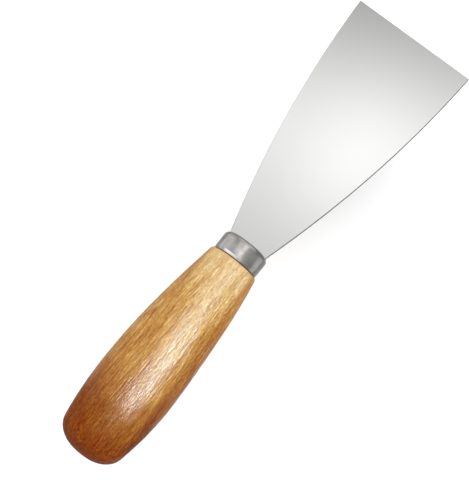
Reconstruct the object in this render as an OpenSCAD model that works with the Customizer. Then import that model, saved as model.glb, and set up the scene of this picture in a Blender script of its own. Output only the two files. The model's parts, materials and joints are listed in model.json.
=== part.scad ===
// Flexible putty knife. The origin is the middle of the scraping edge. +Y points out of that edge,
// +Z is square to the blade, and the handle lies towards -Y. All sizes are in millimetres.
// The blade and its tang are one steel stamping. It is drawn as two solids that meet inside the
// ferrule's slot, at the line that the blade bends about.

/* [Blade] */
// Length of the blade from the ferrule's face to the scraping edge
blade_len = 100.2; // [60:0.1:130]
// Width of the straight scraping edge
edge_w = 50; // [25:0.5:80]
// Width of the blade where it leaves the ferrule
root_w = 15.8; // [10:0.1:16]
// How far the sides bow outwards between the root and the edge, as a share of the taper
side_bow = 0.70; // [0:0.05:0.95]
// Thickness of the spring steel
blade_t = 0.5; // [0.3:0.05:0.8]

/* [Tang] */
// Length of the tang behind the ferrule's face
tang_len = 62; // [30:1:72]
// Width of the tang's rear end
tang_w = 8; // [5:0.5:10]
// Room round the tang in the sawn slot, on each side
slot_gap = 0.03; // [0.01:0.01:0.1]

/* [Ferrule] */
// Length of the ferrule along the knife
ferrule_len = 7.6; // [5:0.1:14]
// Width of the ferrule
ferrule_w = 18; // [17.6:0.1:22]
// Wall of the drawn sheet
ferrule_wall = 0.8; // [0.5:0.05:1]
// Radius of the rounded front edge
ferrule_round = 1.7; // [0.9:0.1:2.5]
// Height of the slot that the blade comes out of
mouth_h = 0.9; // [0.85:0.05:1.6]

/* [Handle] */
// Length of the wood behind the ferrule
handle_len = 83.4; // [76:0.1:110]
// Width of the wood just behind the ferrule
neck_w = 19.2; // [19:0.1:24]
// Width at the belly
belly_w = 28.8; // [24:0.1:36]
// Width where the butt starts to round over
butt_w = 24.4; // [16:0.1:24.4]
// Distance of the belly behind the ferrule
belly_at = 53; // [30:1:58]
// Length of the rounded butt
butt_round = 7.4; // [5:0.1:12]
// Thickness of the oval sections as a share of their width
flatness = 0.76; // [0.7:0.01:1]

/* [Hidden] */
$fn = 96;
front = -blade_len;             // the ferrule's face, and the line that the blade bends about
rear = front - ferrule_len;     // the ferrule's rear rim, where the bare wood starts
shoulder = 1.3;                 // radius that rounds the wood's front edge
cap_t = 1.0;                    // thickness of the ferrule's front wall
bore_w = ferrule_w - 2 * ferrule_wall;
bore_h = bore_w * flatness;
ferrule_h = bore_h + 2 * ferrule_wall;
joint_gap = 0.2;                // between the tang's front end and the blade's rounded root
steps = 40;

// A taper that bows outwards by k, from 0 at u = 0 to 1 at u = 1
function bow(u, k) = u * (1 + k * (1 - u));
function ease(v) = v * v * (3 - 2 * v);

// Half width of the blade at distance d in front of the ferrule
function blade_half(d) = root_w / 2 + (edge_w - root_w) / 2 * bow(d / blade_len, side_bow);

// Half width of the wood at distance s behind the ferrule, before its front edge is rounded
tail = handle_len - butt_round;
function domed(s) = s < tail ? 1 : pow(max(0, 1 - pow((s - tail) / butt_round, 2.4)), 1 / 2.4);
function swell(s) = s < belly_at
  ? neck_w / 2 + (belly_w - neck_w) / 2 * bow(s / belly_at, 0.87)
  : (belly_w + (butt_w - belly_w) * pow((s - belly_at) / (tail - belly_at), 2)) / 2 * domed(s);
function wood_half(s) = s < shoulder
  ? swell(s) - shoulder * (1 - sqrt(1 - pow(1 - s / shoulder, 2)))
  : swell(s);

// Half width of the tang at distance d behind the ferrule's face
function tang_half(d) = d < 12
  ? tang_w / 2 + 1 + (root_w / 2 - tang_w / 2 - 1.2) * (1 - ease(d / 12))
  : tang_w / 2 + (tang_len - d) / (tang_len - 12);

// Turns a shape round the knife's axis, with the shape's own Y pointing to the rear
module turned(at) {
  translate([0, at, 0]) rotate([90, 0, 0]) rotate_extrude() children();
}

module tang_outline(gap) {
  d0 = joint_gap + blade_t / 2;
  nose = 3;
  ds = [for (i = [0:24]) d0 + (tang_len - nose - d0) * i / 24];
  polygon(concat(
    [for (d = ds) [tang_half(d) + gap, front - d]],
    [[tang_half(tang_len) / 2 + gap, front - tang_len - gap], [-tang_half(tang_len) / 2 - gap, front - tang_len - gap]],
    [for (i = [24:-1:0]) [-tang_half(ds[i]) - gap, front - ds[i]]]));
}

module blade() {
  color([0.83, 0.83, 0.82]) union() {
    translate([0, 0, -blade_t / 2]) linear_extrude(height = blade_t)
      polygon(concat(
        [for (i = [0:steps]) let (d = blade_len * i / steps) [blade_half(d), front + d]],
        [for (i = [steps:-1:0]) let (d = blade_len * i / steps) [-blade_half(d), front + d]]));
    // the root is round, so that it can turn in the slot
    translate([-root_w / 2, front, 0]) rotate([0, 90, 0]) cylinder(h = root_w, d = blade_t, $fn = 32);
  }
}

module blade_tang() {
  color([0.72, 0.72, 0.71])
    translate([0, 0, -blade_t / 2]) linear_extrude(height = blade_t) tang_outline(0);
}

module ferrule() {
  color([0.56, 0.55, 0.53]) difference() {
    scale([1, 1, ferrule_h / ferrule_w]) turned(front)
      polygon(concat(
        [[0, 0]],
        [for (i = [0:8]) let (a = 90 * i / 8) [ferrule_w / 2 - ferrule_round * (1 - sin(a)), ferrule_round * (1 - cos(a))]],
        [[ferrule_w / 2, ferrule_len], [0, ferrule_len]]));
    scale([1, 1, flatness]) turned(front - cap_t)
      square([bore_w / 2, ferrule_len]);
    translate([-root_w / 2 - 0.2, front - cap_t - 1, -mouth_h / 2])
      cube([root_w + 0.4, cap_t + 2, mouth_h]);
  }
}

// Distances behind the ferrule at which the wood's oval rings stand, each with its half width
wood_rings = concat(
  [[cap_t + 0.1 - ferrule_len, bore_w / 2 - 0.02], [0, bore_w / 2 - 0.02]],
  [for (i = [0:4]) let (s = shoulder * (1 - cos(90 * i / 4))) [s, wood_half(s)]],
  [for (i = [1:24]) let (s = shoulder + (tail - shoulder) * i / 24) [s, wood_half(s)]],
  [for (i = [1:8]) let (s = tail + butt_round * sin(90 * i / 9)) [s, wood_half(s)]]);

// One skin through all the rings, closed by a point on the axis at each end
module wood_skin() {
  m = 60;
  n = len(wood_rings);
  polyhedron(
    points = concat(
      [for (r = wood_rings) for (j = [0:m - 1])
        [r[1] * cos(360 * j / m), rear - r[0], r[1] * flatness * sin(360 * j / m)]],
      [[0, rear - wood_rings[0][0], 0], [0, rear - handle_len, 0]]),
    faces = concat(
      [for (i = [0:n - 2]) for (j = [0:m - 1]) let (a = i * m + j, b = i * m + (j + 1) % m) [a, b, b + m]],
      [for (i = [0:n - 2]) for (j = [0:m - 1]) let (a = i * m + j, b = i * m + (j + 1) % m) [a, b + m, a + m]],
      [for (j = [0:m - 1]) [n * m, (j + 1) % m, j]],
      [for (j = [0:m - 1]) [n * m + 1, (n - 1) * m + j, (n - 1) * m + (j + 1) % m]]),
    convexity = 4);
}

module handle() {
  slot_h = blade_t + 2 * slot_gap;
  color([0.80, 0.57, 0.28]) difference() {
    wood_skin();
    // the sawn slot that the tang is pressed into
    translate([0, 0, -slot_h / 2]) linear_extrude(height = slot_h) union() {
      tang_outline(slot_gap);
      translate([-root_w / 2 + 0.2, front - 2.4]) square([root_w - 0.4, 2.4]);
    }
  }
}

blade();
blade_tang();
ferrule();
handle();
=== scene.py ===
import json
import math

import bmesh
import bpy
import numpy as np
from mathutils import Matrix, Vector

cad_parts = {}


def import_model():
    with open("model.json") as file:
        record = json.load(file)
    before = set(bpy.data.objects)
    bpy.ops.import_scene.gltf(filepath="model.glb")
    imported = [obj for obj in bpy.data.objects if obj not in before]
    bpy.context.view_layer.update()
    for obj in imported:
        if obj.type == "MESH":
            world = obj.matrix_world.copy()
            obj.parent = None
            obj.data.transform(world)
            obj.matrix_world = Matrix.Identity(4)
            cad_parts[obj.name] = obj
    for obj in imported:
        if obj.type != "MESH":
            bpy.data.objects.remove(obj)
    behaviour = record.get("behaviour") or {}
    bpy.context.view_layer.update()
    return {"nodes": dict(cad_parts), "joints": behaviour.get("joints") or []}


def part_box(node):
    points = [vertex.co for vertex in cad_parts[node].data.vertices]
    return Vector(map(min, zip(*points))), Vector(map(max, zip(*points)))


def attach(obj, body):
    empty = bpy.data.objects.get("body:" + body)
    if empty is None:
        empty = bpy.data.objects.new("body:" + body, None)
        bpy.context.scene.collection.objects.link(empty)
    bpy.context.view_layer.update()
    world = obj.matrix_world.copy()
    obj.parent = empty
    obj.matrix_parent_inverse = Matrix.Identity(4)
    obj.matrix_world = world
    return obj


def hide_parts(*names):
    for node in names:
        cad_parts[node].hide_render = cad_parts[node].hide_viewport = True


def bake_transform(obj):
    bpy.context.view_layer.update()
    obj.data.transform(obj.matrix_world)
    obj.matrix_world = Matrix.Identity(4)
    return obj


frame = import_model()

# ---------------------------------------------------------------- sizes, from the CAD frame, in millimetres
joint = frame["joints"][0]
FRONT = joint["pos_m"][1] * 1000                      # the ferrule's face, where the blade comes out
blade_lo, blade_hi = [v * 1000 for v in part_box("blade")]
fer_lo, fer_hi = [v * 1000 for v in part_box("ferrule")]
wood_lo, wood_hi = [v * 1000 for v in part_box("handle")]
REAR = fer_lo.y                                       # the ferrule's rear rim
LENGTH = -FRONT                                       # free length of the blade
EDGE = blade_hi.x                                     # half width of the scraping edge
THICK = blade_hi.z                                    # half thickness of the blade
ROOT = 7.9                                            # half width of the blade at the ferrule
FER = fer_hi.x                                        # half width of the ferrule
FER_FLAT = fer_hi.z / fer_hi.x
FER_LEN = FRONT - REAR
BELLY = wood_hi.x
FLAT = wood_hi.z / wood_hi.x
WOOD = REAR - wood_lo.y                               # length of the bare wood
NECK, BUTT, BELLY_AT, BUTT_ROUND, SHOULDER = 9.6, 12.2, 53.0, 7.4, 1.3
BORE = FER - 0.8


def bow(u, k):
    return u * (1 + k * (1 - u))


def blade_half(d):
    return ROOT + (EDGE - ROOT) * bow(max(d, 0) / LENGTH, 0.70)


def swell(s):
    if s < BELLY_AT:
        return NECK + (BELLY - NECK) * bow(s / BELLY_AT, 0.87)
    u = (s - BELLY_AT) / (WOOD - BUTT_ROUND - BELLY_AT)
    return BELLY + (BUTT - BELLY) * u * u


# ---------------------------------------------------------------- meshes
def make(name, verts_mm, faces, mats, sharp=30, indices=None):
    me = bpy.data.meshes.new(name)
    me.from_pydata([tuple(c * 0.001 for c in v) for v in verts_mm], [], faces)
    for m in mats:
        me.materials.append(m)
    if indices is not None:
        me.polygons.foreach_set("material_index", indices)
    me.validate()
    bm = bmesh.new()
    bm.from_mesh(me)
    bmesh.ops.recalc_face_normals(bm, faces=bm.faces)
    bm.to_mesh(me)
    bm.free()
    me.update()
    me.polygons.foreach_set("use_smooth", [True] * len(me.polygons))
    if sharp:
        me.set_sharp_from_angle(angle=math.radians(sharp))
    ob = bpy.data.objects.new(name, me)
    bpy.context.scene.collection.objects.link(ob)
    return ob


def build_blade(mats):
    """One sheet: flat faces, rounded long sides, and a square scraping edge with a broken arris."""
    t, b, rc, ns, nx = THICK, 0.06, 0.35, 7, 28
    bl, br = 0.16, 0.32                                # rounding of the left and right long sides
    ds = [-0.44, -0.2] + [LENGTH * i / 132 for i in range(133)]
    ds += [LENGTH - rc * (1 - math.sin(a)) for a in np.linspace(0, math.pi / 2, 7)]
    rows = []
    for d in sorted(set(round(d, 5) for d in ds if d <= LENGTH - b)) + [LENGTH - b, LENGTH]:
        over = max(0.0, d - (LENGTH - rc))
        h = blade_half(d) - rc * (1 - math.sqrt(max(0.0, 1 - (over / rc) ** 2)))
        last = d == LENGTH
        if last:
            h = rows[-1][1] - b
        rows.append((FRONT + d, h, (t - b) / t if last else 1.0))
    verts, rings = [], []
    for y, h, k in rows:
        # a narrow column at each side keeps the shading of the face flat up to the rounding
        xs = [-(h - bl)] + list(np.linspace(-(h - bl) + 0.05, h - br - 0.05, nx - 1)) + [h - br]
        turn = [math.pi / 2 - math.pi * (i + 1) / (ns + 1) for i in range(ns)]
        ring = [(x, y, t * k) for x in xs]
        ring += [(h - br + br * math.cos(a), y, t * k * math.sin(a)) for a in turn]
        ring += [(x, y, -t * k) for x in reversed(xs)]
        ring += [(-(h - bl) - bl * math.cos(a), y, t * k * math.sin(a)) for a in reversed(turn)]
        rings.append(list(range(len(verts), len(verts) + len(ring))))
        verts += ring
    faces, idx = [], []
    n = len(rings[0])
    B = nx + 1 + ns
    for q, (a, c) in enumerate(zip(rings[:-1], rings[1:])):
        for i in range(n):
            j = (i + 1) % n
            faces.append((a[j], a[i], c[i], c[j]))
            side = nx <= i < B or i >= B + nx
            idx.append(1 if side or q == len(rings) - 2 else 0)
    for c, flip in ((rings[-1], False), (rings[0], True)):
        caps = [(c[i + 1], c[i], c[B + nx - i], c[B + nx - i - 1]) for i in range(nx)]
        caps.append(tuple(c[i] for i in range(B, nx - 1, -1)))
        caps.append((c[0],) + tuple(c[i] for i in range(n - 1, B + nx - 1, -1)))
        faces += [tuple(reversed(f)) if flip else f for f in caps]
        idx += [1] * len(caps)
    return make("blade_sheet", verts, faces, mats, sharp=32, indices=idx)


def revolve(profile, flat, name, mats, m=192, wobble=None, sharp=35, indices=None):
    """A closed skin through oval rings. profile is a list of (y, half width); a half width of 0 closes the end."""
    verts, rings = [], []
    for y, r in profile:
        if r <= 1e-6:
            rings.append([len(verts)]); verts.append((0, y, 0))
            continue
        ring = []
        for j in range(m):
            a = 2 * math.pi * j / m
            k = 1 + (wobble(y, a) / r if wobble else 0)
            ring.append(len(verts))
            verts.append((r * k * math.cos(a), y, r * k * flat * math.sin(a)))
        rings.append(ring)
    faces = []
    for a, c in zip(rings[:-1], rings[1:]):
        for j in range(m):
            k = (j + 1) % m
            if len(a) == 1:
                faces.append((a[0], c[k], c[j]))
            elif len(c) == 1:
                faces.append((a[j], a[k], c[0]))
            else:
                faces.append((a[j], a[k], c[k], c[j]))
    return make(name, verts, faces, mats, sharp)


def wood_wobble(y, a):
    """Slight hand-sanded unevenness, about a tenth of a millimetre."""
    s = REAR - y
    if s < 1.2:
        return 0.0
    e = min(1.0, (s - 1.2) / 6) * min(1.0, max(0.0, (WOOD - s) / 8))
    return e * (
        0.10 * math.sin(s * 0.12 + 0.6) * math.cos(3 * a + 0.4)
        + 0.045 * math.sin(s * 0.27 + 0.2) * math.cos(5 * a + 1.9)
        + 0.026 * math.sin(s * 0.55 + 2.6) * math.cos(7 * a - 0.7)
        + 0.012 * math.sin(s * 1.15 + 0.9) * math.cos(11 * a + 0.3)
    )


def build_handle(mats):
    prof = []
    s0 = 1.1 - FER_LEN                                  # front of the spigot inside the ferrule
    spig = BORE - 0.02
    prof.append((REAR - s0, 0.0))
    prof.append((REAR - s0, spig - 4))
    prof.append((REAR - s0, spig - 0.35))
    for a in np.linspace(0, math.pi / 2, 5)[1:]:
        prof.append((REAR - s0 - 0.3 * math.sin(a), spig - 0.3 * (1 - math.sin(a)) - (0.05 * math.cos(a))))
    prof.append((REAR - (s0 * 0.5), spig))
    prof.append((REAR - 0.0, spig))
    for a in np.linspace(0, math.pi / 2, 10):
        s = SHOULDER * (1 - math.cos(a))
        if s == 0:
            prof.append((REAR, swell(0) - SHOULDER))
            continue
        prof.append((REAR - s, swell(s) - SHOULDER * (1 - math.sqrt(max(0.0, 1 - (1 - s / SHOULDER) ** 2)))))
    tail = WOOD - BUTT_ROUND
    n = 230
    for i in range(1, n + 1):
        s = SHOULDER + (tail - SHOULDER) * i / n
        prof.append((REAR - s, swell(s)))
    m = 40
    for i in range(1, m + 1):
        a = math.pi / 2 * i / m
        u, k = math.sin(a) ** (2 / 2.4), math.cos(a) ** (2 / 2.4) if i < m else 0.0
        s = tail + BUTT_ROUND * u
        prof.append((REAR - s, swell(s) * k))
    return revolve(prof, FLAT, "wooden_handle", mats, m=224, wobble=wood_wobble, sharp=50)


def build_ferrule(mats):
    """A drawn steel cap: rolled front corner, a slot for the blade, a turned-in rear lip."""
    m = 192
    flat_in = (BORE * FLAT) / BORE
    rf = 1.7
    outer = []
    # from the slot's lip outwards over the front face, round the corner, back to the rear lip, and in
    for a in np.linspace(math.pi / 2, 0, 15):          # front corner
        outer.append((FRONT - rf * (1 - math.sin(a)), FER - rf * (1 - math.cos(a))))
    for y in np.linspace(FRONT - rf, REAR + 1.15, 12)[1:]:
        outer.append((y, FER))
    # the rim is turned in, more on the upper left than elsewhere
    LIP = [(1.0, 0.0), (0.9, 0.03), (0.8, 0.09), (0.66, 0.19), (0.5, 0.29), (0.34, 0.37), (0.18, 0.44), (0.06, 0.50), (0.0, 0.56)]
    outer += [(REAR + v, FER - 0.4 * w) for v, w in LIP]
    inner = [(REAR, BORE + 0.22), (REAR + 0.06, BORE + 0.06), (REAR + 0.2, BORE)]
    inner += [(y, BORE) for y in np.linspace(REAR + 0.2, FRONT - 1.35, 6)[1:]]
    inner += [(FRONT - 1.1, BORE - 0.08), (FRONT - 1.0, BORE - 0.35)]

    def ring(y, r, k):
        return [(r * math.cos(2 * math.pi * j / m), y, r * k * math.sin(2 * math.pi * j / m)) for j in range(m)]

    def dent(p):
        """Soft facets and dents of a cheap drawn cap, a few hundredths of a millimetre."""
        x, y, z = p
        r = math.hypot(x, z / FER_FLAT)
        if r < FER * 0.93:
            return p
        a = math.atan2(z / FER_FLAT, x)
        v = (y - REAR) / FER_LEN
        turned = 0.0
        if y < REAR + 1.0:
            f = 0.55 * math.exp(-((a - 2.15) / 0.75) ** 2) + 0.35 * math.exp(-((a - 0.3) / 0.4) ** 2) - 0.25
            turned = -f * float(np.interp(y - REAR, [q[0] for q in LIP[::-1]], [q[1] for q in LIP[::-1]]))
        d = -0.14 * math.exp(-((a - 2.36) / 0.13) ** 2) * (0.55 + 0.45 * math.cos((v - 0.4) * 2.2))
        d += 0.025 * math.cos(3 * a + 1.1 + 1.5 * v) + 0.012 * math.cos(7 * a + 0.3 - 2 * v)
        k = 1 + (d + turned) / FER
        return (x * k, y, z * k)

    def slot(y, grow):
        """The mouth: a long slot with round ends, m points matched to the oval rings."""
        hw, hh = 8.1 + grow, 0.45 + grow
        pts = []
        for j in range(m):
            a = 2 * math.pi * j / m
            c, s = math.cos(a), math.sin(a)
            k = 1 / ((abs(c) / 1.0) ** 14 + (abs(s) * FER_FLAT * FER / (hh * 14)) ** 14) ** (1 / 14)
            x = c * k * hw
            x = max(-hw, min(hw, x))
            inset = abs(x) - (hw - hh)
            z = hh if inset <= 0 else math.sqrt(max(0.0, hh * hh - inset * inset))
            fade = min(1.0, abs(s) * 9)
            pts.append((x, y, math.copysign(z * (fade if abs(x) < hw - 1e-6 else fade), s) if abs(s) > 1e-9 else 0.0))
        return pts

    rings = [ring(y, r, FER_FLAT) for y, r in outer]
    rings = [[dent(p) for p in rg] for rg in rings]
    back = []
    for y, r in inner:
        k = flat_in if r <= BORE + 1e-9 else (FER_FLAT * (r - BORE) + flat_in * (FER - r)) / (FER - BORE)
        back.append(ring(y, r, k))

    def between(a, b, f, y):
        return [(p[0] * (1 - f) + q[0] * f, y, p[2] * (1 - f) + q[2] * f) for p, q in zip(a, b)]

    lip = slot(0, 0.16)
    mouth = slot(0, 0.0)
    face = rings[0]
    front_rings = [mouth_r for mouth_r in [
        [(p[0], FRONT - 1.0, p[2]) for p in mouth],
        [(p[0], FRONT - 0.14, p[2]) for p in mouth],
        [(p[0] , FRONT - 0.04, p[2]) for p in slot(0, 0.05)],
        [(p[0], FRONT, p[2]) for p in lip]]]
    front_rings += [between(lip, face, f, FRONT) for f in (0.25, 0.5, 0.75)]
    inside = [between(back[-1], mouth, f, FRONT - 1.0) for f in (0.33, 0.66)]
    loop = front_rings + rings + back + inside
    verts, ids = [], []
    for rg in loop:
        ids.append(list(range(len(verts), len(verts) + m)))
        verts += rg
    faces = []
    for a, c in zip(ids, ids[1:] + ids[:1]):
        for j in range(m):
            k = (j + 1) % m
            faces.append((a[j], a[k], c[k], c[j]))
    return make("steel_ferrule", verts, faces, mats, sharp=40)


# ---------------------------------------------------------------- node helpers
class Graph:
    def __init__(self, nt):
        self.nt = nt
        nt.nodes.clear()

    def add(self, kind, **props):
        n = self.nt.nodes.new(kind)
        for k, v in props.items():
            setattr(n, k, v)
        return n

    def put(self, socket, value):
        if isinstance(value, bpy.types.NodeSocket):
            self.nt.links.new(value, socket)
        elif value is not None:
            socket.default_value = value

    def math(self, op, a, b=None, c=None, clamp=False):
        n = self.add("ShaderNodeMath", operation=op, use_clamp=clamp)
        for s, v in zip(n.inputs, (a, b, c)):
            self.put(s, v)
        return n.outputs[0]

    def vmath(self, op, a, b=None, scale=None):
        n = self.add("ShaderNodeVectorMath", operation=op)
        self.put(n.inputs[0], a)
        if b is not None:
            self.put(n.inputs[1], b)
        if scale is not None:
            self.put(n.inputs["Scale"], scale)
        return n.outputs["Value"] if op in ("DOT_PRODUCT", "LENGTH", "DISTANCE") else n.outputs["Vector"]

    def xyz(self, v):
        n = self.add("ShaderNodeSeparateXYZ")
        self.put(n.inputs[0], v)
        return n.outputs

    def vec(self, x, y, z):
        n = self.add("ShaderNodeCombineXYZ")
        for s, v in zip(n.inputs, (x, y, z)):
            self.put(s, v)
        return n.outputs[0]

    def noise(self, v, scale=1.0, detail=2.0, rough=0.5, dist=0.0):
        n = self.add("ShaderNodeTexNoise")
        self.put(n.inputs["Vector"], v)
        n.inputs["Scale"].default_value = scale
        n.inputs["Detail"].default_value = detail
        n.inputs["Roughness"].default_value = rough
        n.inputs["Distortion"].default_value = dist
        return n.outputs["Fac"]

    def span(self, v, a, b, c=0.0, d=1.0, smooth=True):
        n = self.add("ShaderNodeMapRange")
        n.interpolation_type = "SMOOTHSTEP" if smooth else "LINEAR"
        n.clamp = True
        self.put(n.inputs["Value"], v)
        n.inputs["From Min"].default_value = a
        n.inputs["From Max"].default_value = b
        n.inputs["To Min"].default_value = c
        n.inputs["To Max"].default_value = d
        return n.outputs["Result"]

    def mix(self, f, a, b, kind="MIX"):
        n = self.add("ShaderNodeMix", data_type="RGBA", blend_type=kind)
        self.put(n.inputs[0], f)
        for s, v in ((n.inputs[6], a), (n.inputs[7], b)):
            self.put(s, (*v, 1) if isinstance(v, tuple) and len(v) == 3 else v)
        return n.outputs[2]

    def ramp(self, f, stops, smooth="LINEAR"):
        n = self.add("ShaderNodeValToRGB")
        n.color_ramp.interpolation = smooth
        e = n.color_ramp.elements
        while len(e) < len(stops):
            e.new(0.5)
        for el, (p, c) in zip(e, stops):
            el.position = p
            el.color = (*c, 1)
        self.put(n.inputs[0], f)
        return n.outputs["Color"]

    def bump(self, height, distance, strength=1.0, normal=None):
        n = self.add("ShaderNodeBump")
        n.inputs["Strength"].default_value = strength
        n.inputs["Distance"].default_value = distance
        self.put(n.inputs["Height"], height)
        if normal is not None:
            self.put(n.inputs["Normal"], normal)
        return n.outputs["Normal"]

    def mm(self):
        t = self.add("ShaderNodeTexCoord")
        return self.vmath("SCALE", t.outputs["Object"], scale=1000.0)


def material(name):
    m = bpy.data.materials.new(name)
    m.use_nodes = True
    g = Graph(m.node_tree)
    out = g.add("ShaderNodeOutputMaterial")
    p = g.add("ShaderNodeBsdfPrincipled")
    g.nt.links.new(p.outputs[0], out.inputs[0])
    return m, g, p


def lin(r, g, b):
    """An sRGB colour of 0 to 255, as linear light."""
    def f(c):
        c /= 255
        return c / 12.92 if c <= 0.04045 else ((c + 0.055) / 1.055) ** 2.4
    return (f(r), f(g), f(b))


# ---------------------------------------------------------------- materials
def steel_blade():
    m, g, p = material("satin_stainless")
    P = g.mm()
    line = g.noise(g.vmath("MULTIPLY", P, (7.0, 0.05, 7.0)), 1, 2, 0.6)
    fine = g.noise(g.vmath("MULTIPLY", P, (19.0, 0.16, 19.0)), 1, 2, 0.6)
    cloud = g.noise(P, 0.06, 2, 0.5)
    tone = g.math("ADD", g.math("MULTIPLY", g.math("SUBTRACT", line, 0.5), 0.030),
                  g.math("MULTIPLY", g.math("SUBTRACT", cloud, 0.5), 0.03))
    base = g.mix(g.math("ADD", tone, 0.5), (0.80, 0.80, 0.79), (0.98, 0.98, 0.972))
    g.put(p.inputs["Base Color"], base)
    p.inputs["Metallic"].default_value = 1.0
    rough = g.math("ADD", 0.145, g.math("MULTIPLY", g.math("SUBTRACT", fine, 0.5), 0.05))
    g.put(p.inputs["Roughness"], rough)
    h = g.math("ADD", g.math("MULTIPLY", line, 0.6), g.math("MULTIPLY", fine, 0.4))
    g.put(p.inputs["Normal"], g.bump(h, 0.0000022, 0.35))
    return m


def steel_edge():
    m, g, p = material("ground_edge_steel")
    P = g.mm()
    n = g.noise(g.vmath("MULTIPLY", P, (2.2, 2.2, 9.0)), 1, 3, 0.6)
    g.put(p.inputs["Base Color"], g.mix(n, (0.30, 0.30, 0.297), (0.42, 0.42, 0.412)))
    p.inputs["Metallic"].default_value = 1.0
    g.put(p.inputs["Roughness"], g.span(n, 0.2, 0.8, 0.22, 0.34, False))
    return m


def steel_tang():
    m, g, p = material("unpolished_steel")
    P = g.mm()
    n = g.noise(P, 0.7, 4, 0.6)
    g.put(p.inputs["Base Color"], g.mix(n, (0.33, 0.32, 0.31), (0.48, 0.47, 0.46)))
    p.inputs["Metallic"].default_value = 1.0
    g.put(p.inputs["Roughness"], g.span(n, 0.2, 0.8, 0.38, 0.55, False))
    return m


def steel_ferrule():
    m, g, p = material("drawn_steel")
    P = g.mm()
    x, y, z = g.xyz(P)
    cloud = g.noise(P, 0.34, 3, 0.55)
    fine = g.noise(g.vmath("MULTIPLY", P, (1.2, 5.5, 1.2)), 1, 3, 0.6)
    base = g.mix(g.span(cloud, 0.3, 0.7), (0.385, 0.37, 0.35), (0.515, 0.505, 0.49))
    base = g.mix(g.math("MULTIPLY", g.span(fine, 0.35, 0.75), 0.22), base, (0.30, 0.29, 0.275))
    # a little brown dirt where the rim meets the wood
    rim = g.span(y, REAR + 0.05, REAR + 0.75, 1.0, 0.0)
    dirt = g.math("MULTIPLY", rim, g.span(cloud, 0.42, 0.72, 0.0, 0.45))
    base = g.mix(dirt, base, (0.16, 0.115, 0.09))
    g.put(p.inputs["Base Color"], base)
    p.inputs["Metallic"].default_value = 1.0
    g.put(p.inputs["Roughness"], g.math("ADD", 0.25, g.math("MULTIPLY", cloud, 0.12)))
    h = g.math("ADD", g.math("MULTIPLY", fine, 0.5), g.math("MULTIPLY", g.noise(P, 2.1, 3, 0.6), 0.5))
    g.put(p.inputs["Normal"], g.bump(h, 0.000012, 0.5))
    return m


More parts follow.
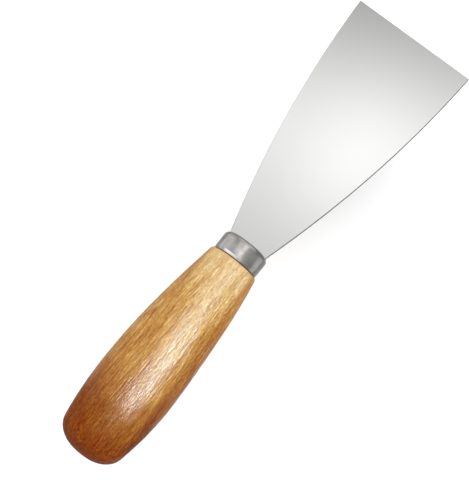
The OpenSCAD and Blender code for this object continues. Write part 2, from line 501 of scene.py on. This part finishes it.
def lacquered_wood():
    m, g, p = material("amber_lacquered_wood")
    P = g.mm()
    x, y, z = g.xyz(P)
    s = g.math("SUBTRACT", REAR, y)                    # distance behind the ferrule
    # the grain wanders a little
    wander = g.noise(g.vmath("MULTIPLY", P, (0.045, 0.011, 0.045)), 1, 2, 0.5)
    wander2 = g.noise(g.vmath("MULTIPLY", g.vmath("ADD", P, (91.0, 17.0, -44.0)), (0.06, 0.014, 0.06)), 1, 2, 0.5)
    wx = g.math("ADD", x, g.math("MULTIPLY", g.math("SUBTRACT", wander, 0.5), 7.0))
    wz = g.math("ADD", z, g.math("MULTIPLY", g.math("SUBTRACT", wander2, 0.5), 7.0))
    # growth rings round a pith that lies outside the handle, below and to the left
    rx = g.math("SUBTRACT", wx, g.math("ADD", -31.0, g.math("MULTIPLY", y, 0.035)))
    rz = g.math("SUBTRACT", wz, g.math("ADD", -37.0, g.math("MULTIPLY", y, -0.02)))
    r = g.math("SQRT", g.math("ADD", g.math("MULTIPLY", rx, rx), g.math("MULTIPLY", rz, rz)))
    ringn = g.noise(g.vec(g.math("MULTIPLY", r, 0.45), g.math("MULTIPLY", y, 0.006), 3.0), 1, 1, 0.5)
    fr = g.math("FRACT", g.math("ADD", g.math("MULTIPLY", r, 0.36), g.math("MULTIPLY", ringn, 1.3)))
    late = g.math("MULTIPLY", g.span(fr, 0.35, 0.93), g.span(fr, 0.94, 1.0, 1.0, 0.0))
    # lengthwise streaks, from the fibre up
    W = g.vec(wx, y, wz)
    streak = g.noise(g.vmath("MULTIPLY", W, (1.55, 0.045, 1.55)), 1, 2, 0.6)
    fibre = g.noise(g.vmath("MULTIPLY", W, (2.5, 0.16, 2.5)), 1, 2, 0.6)
    hair = g.noise(g.vmath("MULTIPLY", g.vmath("ADD", W, (3.0, 9.0, 21.0)), (2.9, 0.85, 2.9)), 1, 2, 0.6)
    pore = g.noise(g.vmath("MULTIPLY", g.vmath("ADD", W, (13.0, 5.0, 7.0)), (5.2, 0.42, 5.2)), 1, 1, 0.5)
    blotch = g.noise(g.vmath("MULTIPLY", g.vmath("ADD", P, (7.0, 3.0, 29.0)), (0.11, 0.05, 0.11)), 1, 3, 0.55)
    mottle = g.noise(g.vmath("MULTIPLY", g.vmath("ADD", P, (5.0, 8.0, 2.0)), (0.55, 0.30, 0.55)), 1, 3, 0.6)

    # tone along the handle: straw at the neck, amber, then orange brown at the butt; the strong darkening over the rear
    # third is partly the stain and partly painted shade
    along = g.math("ADD", g.math("DIVIDE", s, 84.0), g.math("MULTIPLY", g.math("SUBTRACT", blotch, 0.5), 0.26))
    base = g.ramp(along, TONES_AND_BUTT_SHADE, "EASE")
    # the left side is darkened: painted shade, growing stronger along the handle
    left = g.span(g.math("ADD", x, g.math("MULTIPLY", g.math("SUBTRACT", mottle, 0.5), 5.0)), -13.5, 4.0, 1.0, 0.0)
    base = g.mix(g.math("MULTIPLY", left, g.span(s, 4, 30, 0.20, 0.62)), base, g.mix(1.0, base, LEFT_SIDE_SHADE, "MULTIPLY"))
    # the right flank, and the left flank at the neck, are darkened as well: painted shade and a painted dark reflection
    # along the sides
    right = g.span(g.math("SUBTRACT", x, g.math("MULTIPLY", s, 0.055)), 6.9, 9.2)
    neck = g.math("MULTIPLY", g.span(x, -7.9, -9.3), g.span(s, 6.0, 26.0, 0.8, 0.0))
    base = g.mix(neck, base, g.mix(1.0, base, SIDE_SHADE, "MULTIPLY"))
    base = g.mix(g.math("MULTIPLY", right, 0.92), base, g.mix(1.0, base, SIDE_SHADE, "MULTIPLY"))
    # honey and orange patches in the stain
    patch = g.noise(g.vmath("MULTIPLY", g.vmath("ADD", P, (41.0, 23.0, 11.0)), (0.16, 0.085, 0.16)), 1, 3, 0.6)
    base = g.mix(g.math("MULTIPLY", g.span(patch, 0.50, 0.66), 0.45), base, g.mix(1.0, base, (1.10, 1.22, 1.15), "MULTIPLY"))
    base = g.mix(g.math("MULTIPLY", g.span(patch, 0.47, 0.33), 0.45), base, g.mix(1.0, base, (0.96, 0.78, 0.55), "MULTIPLY"))
    # rings, streaks, fibre; the grain is calmer at the neck
    calm = g.span(s, 0.0, 24.0, 0.42, 1.0)
    base = g.mix(g.math("MULTIPLY", late, 0.42), base, g.mix(1.0, base, (0.80, 0.66, 0.46), "MULTIPLY"))
    dark = g.span(streak, 0.51, 0.66)
    light = g.span(streak, 0.47, 0.33)
    base = g.mix(g.math("MULTIPLY", g.math("MULTIPLY", dark, calm), 0.72), base, g.mix(1.0, base, (0.74, 0.58, 0.38), "MULTIPLY"))
    base = g.mix(g.math("MULTIPLY", g.math("MULTIPLY", light, calm), 0.52), base, g.mix(1.0, base, WOOD_LIGHT, "MULTIPLY"))
    fd = g.span(fibre, 0.52, 0.64)
    fl = g.span(fibre, 0.47, 0.35)
    base = g.mix(g.math("MULTIPLY", g.math("MULTIPLY", fd, calm), 0.78), base, g.mix(1.0, base, (0.72, 0.56, 0.36), "MULTIPLY"))
    base = g.mix(g.math("MULTIPLY", g.math("MULTIPLY", fl, calm), 0.66), base, g.mix(1.0, base, WOOD_LIGHT, "MULTIPLY"))
    base = g.mix(g.math("MULTIPLY", g.math("MULTIPLY", g.span(hair, 0.52, 0.64), calm), 0.66), base, g.mix(1.0, base, (0.72, 0.56, 0.38), "MULTIPLY"))
    base = g.mix(g.math("MULTIPLY", g.math("MULTIPLY", g.span(hair, 0.47, 0.35), calm), 0.60), base, g.mix(1.0, base, WOOD_LIGHT, "MULTIPLY"))
    # pores, and a few darker flecks in the stain
    base = g.mix(g.math("MULTIPLY", g.span(pore, 0.635, 0.70), 0.62), base, g.mix(1.0, base, (0.42, 0.28, 0.17), "MULTIPLY"))
    fleck = g.noise(g.vmath("MULTIPLY", g.vmath("ADD", P, (31.0, 11.0, 5.0)), (0.62, 0.34, 0.62)), 1, 3, 0.62)
    base = g.mix(g.math("MULTIPLY", g.span(fleck, 0.66, 0.76), 0.55), base, g.mix(1.0, base, (0.50, 0.31, 0.17), "MULTIPLY"))
    base = g.mix(g.math("MULTIPLY", g.span(mottle, 0.55, 0.78), 0.30), base, g.mix(1.0, base, (0.84, 0.66, 0.45), "MULTIPLY"))
    # a dark band just behind the ferrule, in the shoulder: painted shade in the gap between the wood and the ferrule
    base = g.mix(g.span(s, 0.3, 0.85, 0.92, 0.0), base, (0.12, 0.040, 0.014))
    g.put(p.inputs["Base Color"], base)
    p.inputs["Roughness"].default_value = 0.5
    p.inputs["Specular IOR Level"].default_value = 0.02
    # thin and worn lacquer: it is broken up by the fibre, and matter at the neck and the butt
    worn = g.noise(g.vmath("MULTIPLY", g.vmath("ADD", W, (17.0, 2.0, 8.0)), (2.5, 0.26, 2.5)), 1, 2, 0.6)
    worn = g.span(g.math("ADD", worn, g.math("MULTIPLY", g.math("SUBTRACT", mottle, 0.5), 0.36)), 0.40, 0.62, 0.40, 1.0)
    ends = g.math("MULTIPLY", g.span(s, 58.0, 72.0, 1.0, 0.25), g.span(s, 5.0, 42.0, 0.50, 1.0))
    g.put(p.inputs["Coat Weight"], g.math("MULTIPLY", worn, ends))
    p.inputs["Coat Roughness"].default_value = 0.14
    p.inputs["Coat IOR"].default_value = 1.52
    p.inputs["Subsurface Weight"].default_value = 0.0
    # the lacquer follows the fibre and has orange peel
    peel = g.noise(g.vmath("MULTIPLY", P, (1.15, 0.75, 1.15)), 1, 3, 0.62)
    ridge = g.noise(g.vmath("MULTIPLY", W, (2.5, 0.24, 2.5)), 1, 2, 0.6)
    h = g.math("ADD", g.math("MULTIPLY", peel, 0.28), g.math("MULTIPLY", ridge, 0.72))
    h = g.math("SUBTRACT", h, g.math("MULTIPLY", g.span(pore, 0.63, 0.72), 0.10))
    nrm = g.bump(h, 0.00019, 1.0)
    g.put(p.inputs["Coat Normal"], nrm)
    g.put(p.inputs["Normal"], nrm)
    return m


# stops along the handle: the wood's own tone, and past the belly painted shade that darkens the butt
TONES_AND_BUTT_SHADE = [(0.0, (0.75, 0.565, 0.29)), (0.12, (0.70, 0.465, 0.195)), (0.30, (0.60, 0.345, 0.10)),
              (0.57, (0.53, 0.27, 0.057)), (0.69, (0.42, 0.17, 0.027)), (0.79, (0.31, 0.10, 0.012)),
              (0.89, (0.27, 0.066, 0.006)), (1.0, (0.23, 0.046, 0.004))]
# tint of the painted shade on the left side
LEFT_SIDE_SHADE = (0.83, 0.70, 0.49)
# tint of the painted shade and dark reflection along the flanks
SIDE_SHADE = (0.70, 0.47, 0.28)
WOOD_LIGHT = (1.42, 1.62, 2.05)


# ---------------------------------------------------------------- pieces
blade_mat, edge_mat, tang_mat = steel_blade(), steel_edge(), steel_tang()
fer_mat, wood_mat = steel_ferrule(), lacquered_wood()

blade = build_blade([blade_mat, edge_mat])
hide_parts("blade")
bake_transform(blade)
# a clamped strip of spring steel bends most at its root and hardly at its free edge: this works out each point's share
# of the deflection of a tapered cantilever pushed at its edge, and reads the blade's points, but nothing here moves
# them
us = np.linspace(0, 1, 401)
width = np.array([blade_half(u * LENGTH) for u in us])
curv = (1 - us) / width
slope = np.concatenate([[0], np.cumsum((curv[1:] + curv[:-1]) / 2 * np.diff(us))])
defl = np.concatenate([[0], np.cumsum((slope[1:] + slope[:-1]) / 2 * np.diff(us))])
chord = np.where(us > 0, defl / np.maximum(us, 1e-9), 0)
chord = chord / chord[-1]
co = np.empty(len(blade.data.vertices) * 3)
blade.data.vertices.foreach_get("co", co)

handle = build_handle([wood_mat])
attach(handle, "handle")
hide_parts("handle")

ferrule = build_ferrule([fer_mat])
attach(ferrule, "handle")
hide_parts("ferrule")

tang = frame["nodes"]["blade_tang"]
tang.data.materials.clear()
tang.data.materials.append(tang_mat)

# ---------------------------------------------------------------- floor, light, camera
scene = bpy.context.scene
scene.view_settings.view_transform = "Standard"
scene.view_settings.look = "None"

FLOOR_Z = -0.055


def floor():
    me = bpy.data.meshes.new("studio_floor")
    n, R = 96, 4.0
    me.from_pydata([(R * math.cos(2 * math.pi * i / n), R * math.sin(2 * math.pi * i / n), FLOOR_Z) for i in range(n)],
                   [], [tuple(range(n))])
    ob = bpy.data.objects.new("studio_floor", me)
    scene.collection.objects.link(ob)
    m = bpy.data.materials.new("pale_floor")
    m.use_nodes = True
    g = Graph(m.node_tree)
    out = g.add("ShaderNodeOutputMaterial")
    d = g.add("ShaderNodeBsdfDiffuse")
    d.inputs["Color"].default_value = (0.93, 0.93, 0.93, 1)
    t = g.add("ShaderNodeBsdfTransparent")
    geo = g.add("ShaderNodeNewGeometry")
    mx = g.add("ShaderNodeMixShader")
    # the lit floor fades into the backdrop well before its rim
    away = g.vmath("MULTIPLY", geo.outputs["Position"], (1.0, 1.0, 0.0))
    n2 = g.add("ShaderNodeVectorMath", operation="LENGTH")
    g.put(n2.inputs[0], away)
    fade = g.span(n2.outputs["Value"], 0.45, 1.25)
    g.put(mx.inputs[0], g.math("MAXIMUM", geo.outputs["Backfacing"], fade))
    g.put(mx.inputs[1], d.outputs[0])
    g.put(mx.inputs[2], t.outputs[0])
    g.put(out.inputs[0], mx.outputs[0])
    me.materials.append(m)
    ob.visible_glossy = False                          # what gloss sees below is the studio's own tone
    return ob


ground = floor()


def toward(ax, ay):
    """Unit vector tilted ax degrees towards +X and ay degrees towards +Y from straight up."""
    return Vector((math.tan(math.radians(ax)), math.tan(math.radians(ay)), 1)).normalized()


# soft glows of the studio: tilt towards +X, tilt towards +Y, spread in degrees, radiance
GLOWS = [
    (-19.1, 16.8, 4.3, 2.12),
    (-4.8, 8.8, 5.6, 0.325),
    (-4.0, 20.0, 3.9, 0.96),
    (7.6, 26.2, 4.0, 1.20),
    (-52, 8, 15, 0.55),
]
BASE = 0.29
HORIZON = 0.45
BELOW = 0.40


def world():
    w = bpy.data.worlds.new("studio")
    scene.world = w
    w.use_nodes = True
    g = Graph(w.node_tree)
    out = g.add("ShaderNodeOutputWorld")
    bg = g.add("ShaderNodeBackground")
    tc = g.add("ShaderNodeTexCoord")
    d = g.vmath("NORMALIZE", tc.outputs["Generated"])
    total = BASE
    for ax, ay, spread, power in GLOWS:
        k = 1 / math.radians(spread) ** 2
        c = g.vmath("DOT_PRODUCT", d, tuple(toward(ax, ay)))
        e = g.math("EXPONENT", g.math("MULTIPLY", g.math("SUBTRACT", c, 1.0), k))
        total = g.math("ADD", total, g.math("MULTIPLY", e, power))
    dx, dy, up = g.xyz(d)
    band = g.math("EXPONENT", g.math("MULTIPLY", g.math("MULTIPLY", up, up), -9.0))
    side = g.span(dx, -0.6, 0.7, 1.0, 0.12, False)
    total = g.math("ADD", total, g.math("MULTIPLY", g.math("MULTIPLY", band, HORIZON), side))
    total = g.math("ADD", total, g.span(up, -0.38, -0.72, 0.0, BELOW))
    lp = g.add("ShaderNodeLightPath")
    seen = g.math("ADD", g.math("MULTIPLY", lp.outputs["Is Camera Ray"], 0.93),
                  g.math("MULTIPLY", g.math("SUBTRACT", 1.0, lp.outputs["Is Camera Ray"]), total))
    g.put(bg.inputs["Color"], (1, 1, 1, 1))
    g.put(bg.inputs["Strength"], seen)
    g.put(out.inputs[0], bg.outputs[0])


world()


def softbox(name, target, ax, ay, dist, wx, wy, roll, radiance, only=None):
    """A rectangular soft light of that radiance, seen from target in the direction (ax, ay)."""
    li = bpy.data.lights.new(name, "AREA")
    li.shape = "RECTANGLE"
    li.size, li.size_y = wx, wy
    li.energy = radiance * math.pi * wx * wy
    ob = bpy.data.objects.new(name, li)
    scene.collection.objects.link(ob)
    t = Vector(target)
    n = toward(ax, ay)
    ob.location = t + n * dist
    yv = Vector((0, 1, 0))
    yv = (yv - n * yv.dot(n)).normalized()
    xv = yv.cross(n)
    a = math.radians(roll)
    xr = xv * math.cos(a) + yv * math.sin(a)
    yr = -xv * math.sin(a) + yv * math.cos(a)
    ob.rotation_mode = "QUATERNION"
    ob.rotation_quaternion = Matrix((xr, yr, n)).transposed().to_quaternion()
    if only:
        c = bpy.data.collections.new(name + "_on")
        for o in only:
            c.objects.link(o)
        ob.light_linking.receiver_collection = c
    return ob


key = softbox("handle_key", (0.0, -0.145, 0.011), 14.0, 10.0, 0.9, 0.34, 0.48, 24.0, 6.6, [handle])
key.visible_glossy = False
shine = softbox("handle_softbox", (0.0, -0.145, 0.011), 19.0, 9.0, 0.9, 0.34, 0.62, 24.0, 26.5, [handle])
shine.visible_diffuse = False
shine.data.color = (0.76, 0.96, 1.0)
softbox("ferrule_strip", (0.0, -0.104, 0.007), 0.5, 11.3, 0.9, 0.12, 0.5, 0.0, 3.1, [ferrule])
softbox("ferrule_side", (0.0, -0.104, 0.007), -14.0, 11.3, 0.9, 0.26, 0.5, 0.0, 0.20, [ferrule])
softbox("ferrule_left", (0.0, -0.104, 0.007), -74.0, 11.3, 0.9, 0.45, 0.5, 0.0, 0.55, [ferrule])
softbox("ferrule_mid", (0.0, -0.104, 0.007), 30.0, 11.3, 0.9, 0.9, 0.6, 0.0, 0.20, [ferrule])
softbox("ferrule_right", (0.0, -0.104, 0.007), 86.5, 11.3, 0.9, 0.5, 0.6, 0.0, 0.62, [ferrule])
lip = softbox("ferrule_rear", (0.0, -0.106, 0.007), -26.0, -30.0, 0.9, 1.45, 0.55, 0.0, 2.2, [ferrule])
lip.data.color = (1.0, 0.92, 0.97)
softbox("ferrule_front", (0.0, -0.104, 0.007), -8.0, 52.0, 0.9, 1.1, 0.55, 0.0, 0.8, [ferrule])
fill = softbox("overhead_fill", (0.0, -0.10, 0.0), 4.0, 8.0, 1.5, 1.6, 1.6, 0.0, 1.3)
fill.visible_glossy = False
softbox("floor_light", (0.0, -0.05, 0.0), 0.0, 0.0, 1.9, 3.6, 3.6, 0.0, 1.6, [ground])


cam_data = bpy.data.cameras.new("camera")
cam_data.sensor_width = 36.0
cam_data.lens = 71.99
cam_data.clip_start, cam_data.clip_end = 0.01, 50
cam = bpy.data.objects.new("camera", cam_data)
scene.collection.objects.link(cam)
R = Matrix(((0.78507, 0.61863, 0.03113), (-0.60917, 0.76201, 0.21968), (0.11218, -0.19142, 0.97508)))
cam.rotation_mode = "QUATERNION"
cam.rotation_quaternion = R.transposed().to_quaternion()
cam.location = (0.03665, -0.1714, 0.34185)
scene.camera = cam

bpy.context.view_layer.update()
